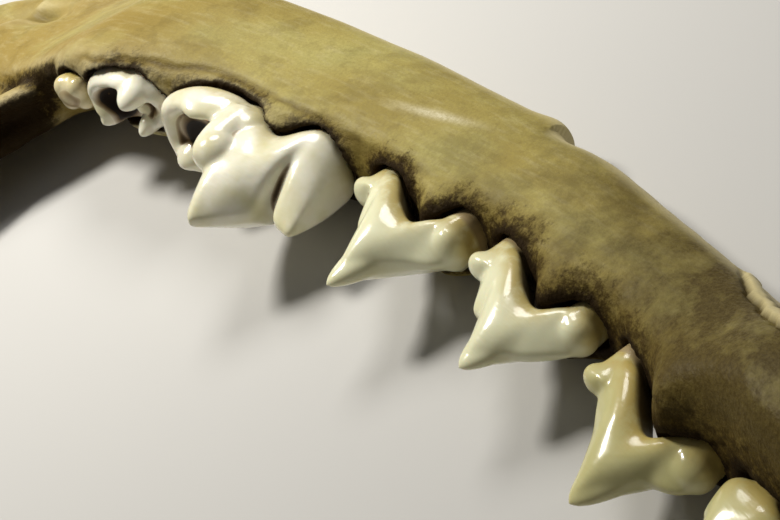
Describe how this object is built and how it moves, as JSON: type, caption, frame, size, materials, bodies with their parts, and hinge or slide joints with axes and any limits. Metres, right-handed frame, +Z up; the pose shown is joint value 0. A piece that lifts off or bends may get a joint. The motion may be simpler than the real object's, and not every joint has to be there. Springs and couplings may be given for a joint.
{
  "type": "fox lower jaw",
  "caption": "Right half of a young red fox's lower jaw with its teeth in their sockets, lying on its outer side with the inner face up.",
  "frame": {"origin": "middle of the bounding box's footprint, on the surface the jaw lies on", "axes": "+X towards the front of the jaw, +Z up through the inner face, biting edges towards -Y"},
  "size_m": [0.1016, 0.0438, 0.0096],
  "materials": {
    "bone": "dry bone, olive tan, fibrous and finely pitted, satin",
    "incisor_1": "polished ivory enamel, stained at the neck",
    "incisor_2": "polished ivory enamel, stained at the neck",
    "incisor_3": "polished ivory enamel, stained at the neck",
    "canine": "polished ivory enamel, stained at the neck",
    "premolar_1": "polished ivory enamel, stained at the neck",
    "premolar_2": "polished ivory enamel, yellowish, stained along the rear ridge",
    "premolar_3": "polished ivory enamel, stained at the neck",
    "premolar_4": "polished ivory enamel, stained at the neck",
    "molar_1": "polished ivory enamel, brown stain in the basin and in the notch of the blade",
    "molar_2": "polished ivory enamel, brown stain in the basins",
    "molar_3": "polished ivory enamel, brown stain in the pits"
  },
  "bodies": {
    "root": {"mandible": "bone", "incisor_1": "incisor_1", "incisor_2": "incisor_2", "incisor_3": "incisor_3", "canine": "canine", "premolar_1": "premolar_1", "premolar_2": "premolar_2", "premolar_3": "premolar_3", "premolar_4": "premolar_4", "molar_1": "molar_1", "molar_2": "molar_2", "molar_3": "molar_3"}
  },
  "joints": []
}
